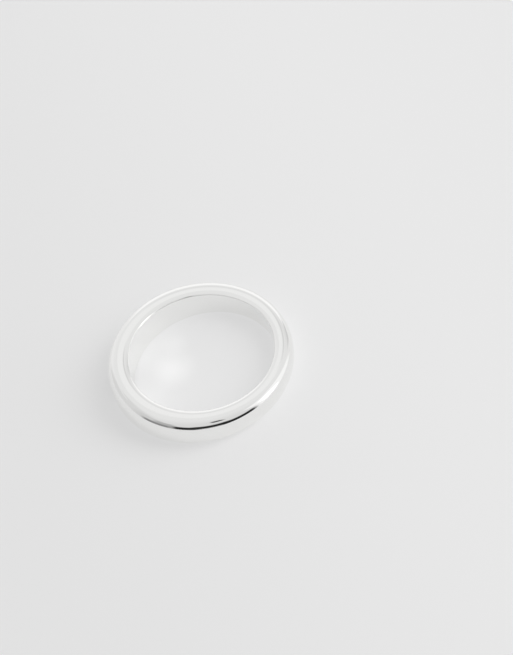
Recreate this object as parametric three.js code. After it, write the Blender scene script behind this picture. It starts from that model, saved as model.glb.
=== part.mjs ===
// Stackable ring: one solid silver band, domed outside, that tapers from a bold
// front to a slim back. It lies on its side, as such a ring does by itself.
// Millimetres, +Z up, the bold front towards -Y, the back towards +Y.
import * as THREE from 'three';

// Driving sizes
const BORE_DIAMETER = 17.3;
const FRONT_THICKNESS = 2.7;    // wall of the band at the front, from bore to crown
const FLANK_THICKNESS = 2.55;   // the same wall a quarter turn from the front
const BACK_THICKNESS = 2.05;
const FRONT_WIDTH = 4.4;        // from side to side, along the finger
const BACK_WIDTH = 3;
const EDGE_REACH = 0.5;         // each edge of the bore is a quarter ellipse: this far
const EDGE_DROP = 0.2;          // across the side and this far down the bore
const SIDE_LAND = 0.35;         // flat strip next to each rounded edge
const SHOULDER_POWER = 3.7;     // 2 is a plain ellipse, more is fuller
const CROWN_POWER = 2.2;

// Steps of the mesh
const STEPS_AROUND = 128;
const ROUNDING_STEPS = 6;
const DOME_STEPS = 10;

const boreRadius = BORE_DIAMETER / 2;
const meanHalfWidth = (FRONT_WIDTH + BACK_WIDTH) / 4;

// Both sides of the band are planes. Each rises by this much for each
// millimetre towards the front.
const sideSlope = (FRONT_WIDTH - BACK_WIDTH) / 4 / boreRadius;

// Half the width at a distance from the bore's axis, at an angle from the front
function halfWidth(radius, angle) {
  return meanHalfWidth + sideSlope * radius * Math.cos(angle);
}

// Wall of the band at an angle from the front: one even curve through the
// thicknesses of the front, the flanks and the back
function wallThickness(angle) {
  const meanOfEnds = (FRONT_THICKNESS + BACK_THICKNESS) / 2;
  const taper = (FRONT_THICKNESS - BACK_THICKNESS) / 2;
  const level = (meanOfEnds + FLANK_THICKNESS) / 2;
  const flankSwell = (meanOfEnds - FLANK_THICKNESS) / 2;
  return level + taper * Math.cos(angle) + flankSwell * Math.cos(2 * angle);
}

// Upper half of the section at an angle from the front: [radius, height] from
// the bore's wall, over the rounded edge and the flat strip, to the crown
function upperHalf(angle) {
  const points = [];
  for (let i = 0; i <= ROUNDING_STEPS; i += 1) {
    const turn = (Math.PI / 2) * (i / ROUNDING_STEPS);
    const radius = boreRadius + EDGE_REACH * (1 - Math.cos(turn));
    const drop = EDGE_DROP * (1 - Math.sin(turn));
    points.push([radius, halfWidth(radius, angle) - drop]);
  }
  const landEnd = boreRadius + EDGE_REACH + SIDE_LAND;
  const crown = boreRadius + wallThickness(angle);
  for (let i = 0; i <= DOME_STEPS; i += 1) {
    const turn = (Math.PI / 2) * (i / DOME_STEPS);
    const reach = Math.sin(turn) ** (2 / SHOULDER_POWER);
    const radius = landEnd + (crown - landEnd) * reach;
    const height = i === DOME_STEPS ? 0 : Math.cos(turn) ** (2 / CROWN_POWER);
    points.push([radius, halfWidth(radius, angle) * height]);
  }
  return points;
}

// Whole section: the upper half, then its mirror image back to the bore
function section(angle) {
  const upper = upperHalf(angle);
  const lower = upper.slice(0, -1).reverse().map(([radius, height]) => [radius, -height]);
  return [...upper, ...lower];
}

// Closed mesh through the sections, one for each step around the finger
function bandGeometry() {
  const positions = [];
  const indices = [];
  const count = section(0).length;
  for (let step = 0; step < STEPS_AROUND; step += 1) {
    const angle = 2 * Math.PI * (step / STEPS_AROUND);
    for (const [radius, height] of section(angle)) {
      positions.push(radius * Math.sin(angle), -radius * Math.cos(angle), height);
    }
    const next = (step + 1) % STEPS_AROUND;
    for (let i = 0; i < count; i += 1) {
      const j = (i + 1) % count;
      const a = step * count + i;
      const b = step * count + j;
      const c = next * count + j;
      const d = next * count + i;
      indices.push(a, b, c, a, c, d);
    }
  }
  const geometry = new THREE.BufferGeometry();
  geometry.setAttribute('position', new THREE.Float32BufferAttribute(positions, 3));
  geometry.setIndex(indices);
  geometry.computeVertexNormals();
  return geometry;
}

// The band laid on its lower side, with the middle of its box over the origin
function ringBand() {
  const silver = new THREE.MeshStandardMaterial({
    name: 'polished_silver',
    color: new THREE.Color(0.93, 0.93, 0.92),
    roughness: 0.06,
    metalness: 1,
  });
  const band = new THREE.Mesh(bandGeometry(), silver);
  band.name = 'ring_band';
  band.rotation.x = -Math.atan(sideSlope);
  band.updateMatrixWorld(true);
  const box = new THREE.Box3().setFromObject(band, true);
  band.position.y = -(box.min.y + box.max.y) / 2;
  band.position.z = -box.min.z;
  return band;
}

const ring = new THREE.Group();
ring.add(ringBand());

export default ring;
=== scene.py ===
"""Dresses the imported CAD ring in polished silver, and sets the floor, the light and the camera."""
import math

import bpy
from mathutils import Matrix, Vector


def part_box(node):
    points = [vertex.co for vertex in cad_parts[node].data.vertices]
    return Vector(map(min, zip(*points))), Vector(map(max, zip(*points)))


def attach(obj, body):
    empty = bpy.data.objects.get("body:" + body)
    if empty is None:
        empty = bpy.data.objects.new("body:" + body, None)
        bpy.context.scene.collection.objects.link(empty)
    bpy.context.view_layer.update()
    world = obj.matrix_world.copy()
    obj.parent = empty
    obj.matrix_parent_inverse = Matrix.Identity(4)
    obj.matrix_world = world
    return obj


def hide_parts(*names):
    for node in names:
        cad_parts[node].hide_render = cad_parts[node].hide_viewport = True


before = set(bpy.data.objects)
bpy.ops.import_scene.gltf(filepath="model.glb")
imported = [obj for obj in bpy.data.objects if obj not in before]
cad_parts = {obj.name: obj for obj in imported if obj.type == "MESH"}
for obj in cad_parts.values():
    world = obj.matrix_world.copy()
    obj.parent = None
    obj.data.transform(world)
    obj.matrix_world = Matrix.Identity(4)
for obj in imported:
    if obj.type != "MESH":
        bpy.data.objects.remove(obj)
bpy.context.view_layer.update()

MM = 0.001

# Driving sizes of the ring, in millimetres, as the CAD has them
BORE_DIAMETER = 17.3
FRONT_THICKNESS = 2.7
FLANK_THICKNESS = 2.55
BACK_THICKNESS = 2.05
FRONT_WIDTH = 4.4
BACK_WIDTH = 3.0
EDGE_DROP = 0.2          # the bore's edge is worn to a quarter ellipse, this far down the bore
SHOULDER_POWER = 3.7     # powers of the dome's superellipse
CROWN_POWER = 2.2

# Sizes finer than the CAD has them, which decide what the polished side mirrors
EDGE_REACH = 0.75        # length of the quarter ellipse across the side
SIDE_LAND = 0.1          # flat strip beside it
SIDE_CAMBER = 0.1        # how far the side falls away in all towards the crown

# Steps of the fine mesh
STEPS_AROUND = 384
WALL_ROWS = 8
ROUNDING_STEPS = 16
LAND_STEPS = 2
DOME_STEPS = 34
DOME_EASE = 1.7          # spreads the dome's steps evenly from its foot

BORE_RADIUS = BORE_DIAMETER / 2
MEAN_HALF_WIDTH = (FRONT_WIDTH + BACK_WIDTH) / 4
SIDE_SLOPE = (FRONT_WIDTH - BACK_WIDTH) / 4 / BORE_RADIUS
LAND_START = BORE_RADIUS + EDGE_REACH
LAND_END = LAND_START + SIDE_LAND
BORE_CENTRE_Y = 0.3 * MM     # the bore's axis, from the middle of the box towards the back


def half_width(radius, angle):
    """Half of the band's width along the finger, before the side falls away."""
    return MEAN_HALF_WIDTH + SIDE_SLOPE * radius * math.cos(angle)


def side_height(radius, angle, crown):
    """Height of the side above the band's middle plane, with its fall towards the crown."""
    fall = SIDE_CAMBER * ((radius - LAND_START) / (crown - LAND_START)) ** 2
    return half_width(radius, angle) - fall


def wall_thickness(angle):
    """Thickness from the bore to the crown at an angle from the front."""
    mean_of_ends = (FRONT_THICKNESS + BACK_THICKNESS) / 2
    taper = (FRONT_THICKNESS - BACK_THICKNESS) / 2
    level = (mean_of_ends + FLANK_THICKNESS) / 2
    flank_swell = (mean_of_ends - FLANK_THICKNESS) / 2
    return level + taper * math.cos(angle) + flank_swell * math.cos(2 * angle)


def upper_half(angle):
    """Points (radius, height) of the section's upper half, from the bore's middle to the crown."""
    points = []
    crown = BORE_RADIUS + wall_thickness(angle)
    wall_top = half_width(BORE_RADIUS, angle) - EDGE_DROP
    for i in range(WALL_ROWS):
        share = math.sin(math.pi / 2 * i / WALL_ROWS)
        points.append((BORE_RADIUS, wall_top * share))
    for i in range(ROUNDING_STEPS + 1):
        turn = math.pi / 2 * i / ROUNDING_STEPS
        radius = BORE_RADIUS + EDGE_REACH * (1 - math.cos(turn))
        points.append((radius, half_width(radius, angle) - EDGE_DROP * (1 - math.sin(turn))))
    for i in range(1, LAND_STEPS):
        radius = LAND_START + SIDE_LAND * i / LAND_STEPS
        points.append((radius, side_height(radius, angle, crown)))
    for i in range(DOME_STEPS + 1):
        turn = math.pi / 2 * (i / DOME_STEPS) ** DOME_EASE
        radius = LAND_END + (crown - LAND_END) * math.sin(turn) ** (2 / SHOULDER_POWER)
        share = 0.0 if i == DOME_STEPS else max(math.cos(turn), 0.0) ** (2 / CROWN_POWER)
        points.append((radius, side_height(radius, angle, crown) * share))
    return points


def band_mesh():
    """Closed mesh of quads through the sections, in metres, lying on its side as the CAD solid does."""
    corners = []
    faces = []
    lay_down = Matrix.Rotation(-math.atan(SIDE_SLOPE), 3, "X")
    for step in range(STEPS_AROUND):
        angle = 2 * math.pi * step / STEPS_AROUND
        upper = upper_half(angle)
        section = upper + [(radius, -height) for radius, height in reversed(upper[1:-1])]
        count = len(section)
        for radius, height in section:
            point = Vector((radius * math.sin(angle), -radius * math.cos(angle), height))
            corners.append(lay_down @ point * MM)
        following = (step + 1) % STEPS_AROUND
        for i in range(count):
            j = (i + 1) % count
            faces.append((step * count + i, step * count + j,
                          following * count + j, following * count + i))
    middle_y = (min(p.y for p in corners) + max(p.y for p in corners)) / 2
    lowest = min(p.z for p in corners)
    low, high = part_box("ring_band")
    offset = Vector(((low.x + high.x) / 2, (low.y + high.y) / 2 - middle_y, low.z - lowest))
    mesh = bpy.data.meshes.new("ring_band_polished")
    mesh.from_pydata([p + offset for p in corners], [], faces)
    mesh.validate()
    mesh.polygons.foreach_set("use_smooth", [True] * len(mesh.polygons))
    mesh.update()
    return mesh


class Nodes:
    """Short way to add nodes to a tree and link them."""

    def __init__(self, tree):
        self.tree = tree
        tree.nodes.clear()

    def add(self, kind, **values):
        node = self.tree.nodes.new(kind)
        for name, value in values.items():
            setattr(node, name, value)
        return node

    def link(self, source, target):
        self.tree.links.new(source, target)

    def math(self, operation, *values):
        """Math node whose inputs are numbers or outputs of other nodes."""
        node = self.add("ShaderNodeMath", operation=operation)
        for socket, value in zip(node.inputs, values):
            if isinstance(value, (int, float)):
                socket.default_value = value
            else:
                self.link(value, socket)
        return node.outputs[0]

    def mix(self, share, first, second):
        """Mix of another node's output with a second output or a number."""
        node = self.add("ShaderNodeMix", data_type="FLOAT")
        self.link(share, node.inputs[0])
        self.link(first, node.inputs[2])
        if isinstance(second, (int, float)):
            node.inputs[3].default_value = second
        else:
            self.link(second, node.inputs[3])
        return node.outputs[0]

    def noise(self, place, scale, detail):
        """Noise around 0.5 at a place."""
        node = self.add("ShaderNodeTexNoise")
        node.inputs["Scale"].default_value = scale
        node.inputs["Detail"].default_value = detail
        self.link(place, node.inputs["Vector"])
        return node.outputs["Fac"]

    def smooth(self, value, start, end, low=0.0, high=1.0):
        """Smooth step from low to high as the value goes from start to end."""
        node = self.add("ShaderNodeMapRange", interpolation_type="SMOOTHSTEP")
        limits = {"From Min": start, "From Max": end, "To Min": low, "To Max": high}
        for name, number in limits.items():
            node.inputs[name].default_value = number
        self.link(value, node.inputs["Value"])
        return node.outputs["Result"]


# Silver: its finish and small unevenness. Noise scales are in waves per metre.
SILVER_COLOUR = (0.955, 0.955, 0.945, 1.0)
POLISH_ROUGHNESS = (0.02, 0.06)      # best and poorest polish outside
BORE_ROUGHNESS = (0.07, 0.13)        # the same inside the bore
BORE_FINISH_ENDS = (0.02, 0.1)       # millimetres outside the bore over which its finish ends
PATCH_SCALE = 420.0                  # patches of better and poorer polish
PATCH_DETAIL = 4.0
PATCH_RANGE = (0.3, 0.7)             # part of the noise's range that they use
RIPPLE_SCALE = 260.0                 # swell left by hand polishing
RIPPLE_DETAIL = 1.0
RIPPLE_HEIGHT = 0.0012 * MM
HAIRLINE_SCALE = 9000.0              # fine polishing lines around the finger
HAIRLINE_DETAIL = 2.0
HAIRLINE_HEIGHT = 0.00004 * MM


def silver_material():
    material = bpy.data.materials.new("polished_silver_finish")
    material.use_nodes = True
    n = Nodes(material.node_tree)
    out = n.add("ShaderNodeOutputMaterial")
    shader = n.add("ShaderNodeBsdfPrincipled")
    shader.inputs["Base Color"].default_value = SILVER_COLOUR
    shader.inputs["Metallic"].default_value = 1.0
    n.link(shader.outputs["BSDF"], out.inputs["Surface"])
    place = n.add("ShaderNodeTexCoord").outputs["Object"]
    apart = n.add("ShaderNodeSeparateXYZ")
    n.link(place, apart.inputs[0])
    low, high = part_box("ring_band")
    beside_axis = n.math("SUBTRACT", apart.outputs["Y"], (low.y + high.y) / 2 + BORE_CENTRE_Y)
    radius = n.math("SQRT", n.math("ADD", n.math("MULTIPLY", apart.outputs["X"], apart.outputs["X"]),
                                   n.math("MULTIPLY", beside_axis, beside_axis)))
    outside = n.smooth(radius, *((BORE_RADIUS + end) * MM for end in BORE_FINISH_ENDS))
    patches = n.noise(place, PATCH_SCALE, PATCH_DETAIL)
    bore_finish = n.smooth(patches, *PATCH_RANGE, *BORE_ROUGHNESS)
    outer_finish = n.smooth(patches, *PATCH_RANGE, *POLISH_ROUGHNESS)
    n.link(n.mix(outside, bore_finish, outer_finish), shader.inputs["Roughness"])
    # Polishing lines: noise in radius and height only, so it runs around the finger
    around = n.add("ShaderNodeCombineXYZ")
    n.link(radius, around.inputs[0])
    n.link(apart.outputs["Z"], around.inputs[2])
    swell = n.add("ShaderNodeBump")
    swell.inputs["Distance"].default_value = RIPPLE_HEIGHT
    n.link(n.noise(place, RIPPLE_SCALE, RIPPLE_DETAIL), swell.inputs["Height"])
    lines = n.add("ShaderNodeBump")
    lines.inputs["Distance"].default_value = HAIRLINE_HEIGHT
    n.link(n.noise(around.outputs[0], HAIRLINE_SCALE, HAIRLINE_DETAIL), lines.inputs["Height"])
    n.link(swell.outputs["Normal"], lines.inputs["Normal"])
    n.link(lines.outputs["Normal"], shader.inputs["Normal"])
    return material


band = bpy.data.objects.new("ring_band_polished", band_mesh())
bpy.context.scene.collection.objects.link(band)
band.data.materials.append(silver_material())
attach(band, "root")
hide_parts("ring_band")

# Camera, at the photo's angle to the ring
IMAGE_WIDTH = 513
IMAGE_HEIGHT = 655
CAMERA_AZIMUTH = 100.96          # around the ring, from the front (-Y) towards +X, in degrees
CAMERA_ELEVATION = 49.47         # degrees
CAMERA_ROLL = -19.22             # degrees
CAMERA_DISTANCE = 0.450          # metres
CLIP_START = 0.01                # metres
LENS = 211.36                    # millimetres
SENSOR = 36.0                    # millimetres
RING_PIXEL = (200.38, 359.58)    # where the middle of the ring's box shows in the photo


def camera():
    azimuth = math.radians(CAMERA_AZIMUTH)
    elevation = math.radians(CAMERA_ELEVATION)
    roll = math.radians(CAMERA_ROLL)
    back = Vector((math.sin(azimuth) * math.cos(elevation), -math.cos(azimuth) * math.cos(elevation),
                   math.sin(elevation)))
    level_right = Vector((math.cos(azimuth), math.sin(azimuth), 0))
    level_up = back.cross(level_right)
    right = math.cos(roll) * level_right + math.sin(roll) * level_up
    up = -math.sin(roll) * level_right + math.cos(roll) * level_up
    focal_pixels = LENS / SENSOR * IMAGE_HEIGHT
    low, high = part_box("ring_band")
    place = (low + high) / 2 + back * CAMERA_DISTANCE
    place -= right * (RING_PIXEL[0] - IMAGE_WIDTH / 2) / focal_pixels * CAMERA_DISTANCE
    place += up * (RING_PIXEL[1] - IMAGE_HEIGHT / 2) / focal_pixels * CAMERA_DISTANCE
    data = bpy.data.cameras.new("camera")
    data.lens = LENS
    data.sensor_width = SENSOR
    data.clip_start = CLIP_START
    obj = bpy.data.objects.new("camera", data)
    bpy.context.scene.collection.objects.link(obj)
    obj.matrix_world = Matrix.Translation(place) @ Matrix((right, up, back)).transposed().to_4x4()
    bpy.context.scene.camera = obj


camera()

# Floor. Directions are in degrees from the camera's right, and grow towards the left behind.
FLOOR_HALF = 3.0                 # metres
FLOOR_COLOUR = (0.30, 0.30, 0.30, 1.0)
PAINTED_FLOOR_GLOW = (0.535, 0.585)      # painted light in the floor, least and most: it lightens the ring's shadow and is brighter towards one side
GLOW_BEARING = 5                 # direction in which it grows
GLOW_REACH = 0.035               # metres to each side of the ring over which it grows
# Painted light and shade on the floor, put where the concave wall would throw them, placed from the
# bore's axis:
# (direction, distance and radius in millimetres, change of the glow)
PAINTED_FLOOR_SPOTS = (
    (153, 4.2, 3.6, 0.08),       # painted light, where the wall would gather it half way to the axis
    (117, 6.2, 2.4, 0.04),       # one arm of that painted light
    (165, 8.9, 4.5, -0.08),      # painted shade at the wall's foot
)


def floor():
    half = FLOOR_HALF
    corners = [(-half, -half, 0), (half, -half, 0), (half, half, 0), (-half, half, 0)]
    mesh = bpy.data.meshes.new("floor")
    mesh.from_pydata(corners, [], [(0, 1, 2, 3)])
    material = bpy.data.materials.new("pale_floor")
    material.use_nodes = True
    n = Nodes(material.node_tree)
    out = n.add("ShaderNodeOutputMaterial")
    shader = n.add("ShaderNodeBsdfDiffuse")
    shader.inputs["Color"].default_value = FLOOR_COLOUR
    glow = n.add("ShaderNodeEmission")
    across = n.add("ShaderNodeVectorMath", operation="DOT_PRODUCT")
    bearing = math.radians(CAMERA_AZIMUTH + GLOW_BEARING)
    across.inputs[1].default_value = (math.cos(bearing), math.sin(bearing), 0)
    place = n.add("ShaderNodeTexCoord").outputs["Object"]
    n.link(place, across.inputs[0])
    # Painted light: the floor's glow, stronger towards one side, which also lightens the ring's shadow
    # on it
    strength = n.smooth(across.outputs["Value"], -GLOW_REACH, GLOW_REACH, *PAINTED_FLOOR_GLOW)
    # Each spot adds painted light to the floor's glow, or painted shade where its change is negative
    for direction, distance, radius, change in PAINTED_FLOOR_SPOTS:
        angle = math.radians(CAMERA_AZIMUTH + direction)
        middle = Vector((math.cos(angle), math.sin(angle), 0)) * distance * MM
        apart = n.add("ShaderNodeVectorMath", operation="DISTANCE")
        apart.inputs[1].default_value = middle + Vector((0, BORE_CENTRE_Y, 0))
        n.link(place, apart.inputs[0])
        painted_spot = n.smooth(apart.outputs["Value"], 0.0, radius * MM, change, 0.0)
        strength = n.math("ADD", strength, painted_spot)
    n.link(strength, glow.inputs["Strength"])
    both = n.add("ShaderNodeAddShader")
    n.link(shader.outputs[0], both.inputs[0])
    n.link(glow.outputs[0], both.inputs[1])
    n.link(both.outputs[0], out.inputs["Surface"])
    mesh.materials.append(material)
    obj = bpy.data.objects.new("floor", mesh)
    bpy.context.scene.collection.objects.link(obj)


floor()

# Studio around the ring, fixed in the room. Directions are azimuth and elevation in degrees:
# azimuth 0 is to the camera's right, 90 is away from it, -90 is towards it.
BACKDROP = 0.79
ROOM_LIGHT = (0.715, 0.80)       # brightness of the room towards the camera and away from it
ROOM_FALL = (-0.55, 0.40)        # parts of the way away over which it changes
# Each later panel lies over the ones before it:
# (middle azimuth, half width, lowest and highest elevation, softness, brightness)
PANELS = (
    (79, 11, 44, 57, 3, 0.865),      # bright part of the ceiling, which both sides of the band mirror
    (156, 26, 3, 58, 8, 0.69),       # duller wall at the left
    (68, 32, -10, 34, 6, 0.99),      # bright wall behind
    (114, 14, -10, 38, 6, 0.84),     # that wall's duller end at the left
    (100, 50, 41, 46, 2, 0.81),      # dull strip above that wall
    (72, 13, 42, 46, 2, 0.75),       # the strip's darkest part
    (70, 4, 46, 52, 2, 0.68),        # small dull gap beside the bright ceiling
    (38, 9, 8, 33, 5, 0.62),         # duller gap behind at the right
    (50, 9, 31, 46, 5, 0.74),        # the gap's upper part
    (-170, 14, 2, 48, 8, 0.62),      # dull wall beside the dark opening
    (-14, 30, -15, 60, 5, 0.95),     # halo of the window
    (-24, 9, 12, 41, 5, 2.4),        # window
    (-84, 9, 53, 70, 3, 0.10),       # small dark fitting overhead
    (-150, 11, 14, 40, 5, 0.45),     # shaded wall over the dark opening's left end
    (-156.5, 15.5, -2, 18, 5, 0.25),  # left end of the dark opening, less dark
    (-126, 13.5, 0, 25, 5, 0.02),    # dark opening on the camera's side: left part
    (-98, 20, 4, 29, 5, 0.02),       # middle, which is higher
    (-68, 20, 0, 25, 4, 0.02),       # right part
)
# The same for the lamp that lights the floor alone and casts the ring's soft shadow on it
LAMP = (-12, 25, 15, 60, 12, 4.6)
FLOOR_AMBIENT = 0.5              # share of the room's light that reaches the floor


def panel_share(n, azimuth, elevation, middle, half, lowest, highest, softness):
    """How much of a panel shows in a direction: 1 inside it, 0 outside it, less at its edge."""
    off = n.math("ABSOLUTE", n.math("WRAP", n.math("SUBTRACT", azimuth, middle), 180.0, -180.0))
    beside = n.smooth(off, half - softness, half + softness, 1.0, 0.0)
    above = n.smooth(elevation, lowest - softness, lowest + softness)
    below = n.smooth(elevation, highest - softness, highest + softness, 1.0, 0.0)
    return n.math("MULTIPLY", beside, n.math("MULTIPLY", above, below))


def studio():
    world = bpy.data.worlds.new("studio")
    world.use_nodes = True
    bpy.context.scene.world = world
    n = Nodes(world.node_tree)
    out = n.add("ShaderNodeOutputWorld")
    light = n.add("ShaderNodeBackground")
    backdrop = n.add("ShaderNodeBackground")
    backdrop.inputs["Color"].default_value = (BACKDROP, BACKDROP, BACKDROP, 1)
    turned = n.add("ShaderNodeVectorRotate", rotation_type="Z_AXIS")
    turned.inputs["Angle"].default_value = -math.radians(CAMERA_AZIMUTH)
    n.link(n.add("ShaderNodeTexCoord").outputs["Generated"], turned.inputs["Vector"])
    apart = n.add("ShaderNodeSeparateXYZ")
    n.link(turned.outputs[0], apart.inputs[0])
    azimuth = n.math("DEGREES", n.math("ARCTAN2", apart.outputs["Y"], apart.outputs["X"]))
    elevation = n.math("DEGREES", n.math("ARCSINE", apart.outputs["Z"]))
    level = n.smooth(apart.outputs["Y"], *ROOM_FALL, *ROOM_LIGHT)
    for *place, brightness in PANELS:
        level = n.mix(panel_share(n, azimuth, elevation, *place), level, brightness)
    rays = n.add("ShaderNodeLightPath")
    off_floor = n.math("MINIMUM", rays.outputs["Diffuse Depth"], 1.0)
    *place, brightness = LAMP
    lamp = n.math("MULTIPLY", panel_share(n, azimuth, elevation, *place), brightness)
    lamp = n.math("MULTIPLY", lamp, off_floor)
    share = n.math("MULTIPLY_ADD", off_floor, FLOOR_AMBIENT - 1, 1.0)
    n.link(n.math("MULTIPLY_ADD", level, share, lamp), light.inputs["Strength"])
    light.inputs["Color"].default_value = (1, 1, 1, 1)
    choice = n.add("ShaderNodeMixShader")
    n.link(rays.outputs["Is Camera Ray"], choice.inputs[0])
    n.link(light.outputs[0], choice.inputs[1])
    n.link(backdrop.outputs[0], choice.inputs[2])
    n.link(choice.outputs[0], out.inputs["Surface"])


studio()

scene = bpy.context.scene
scene.view_settings.view_transform = "Standard"
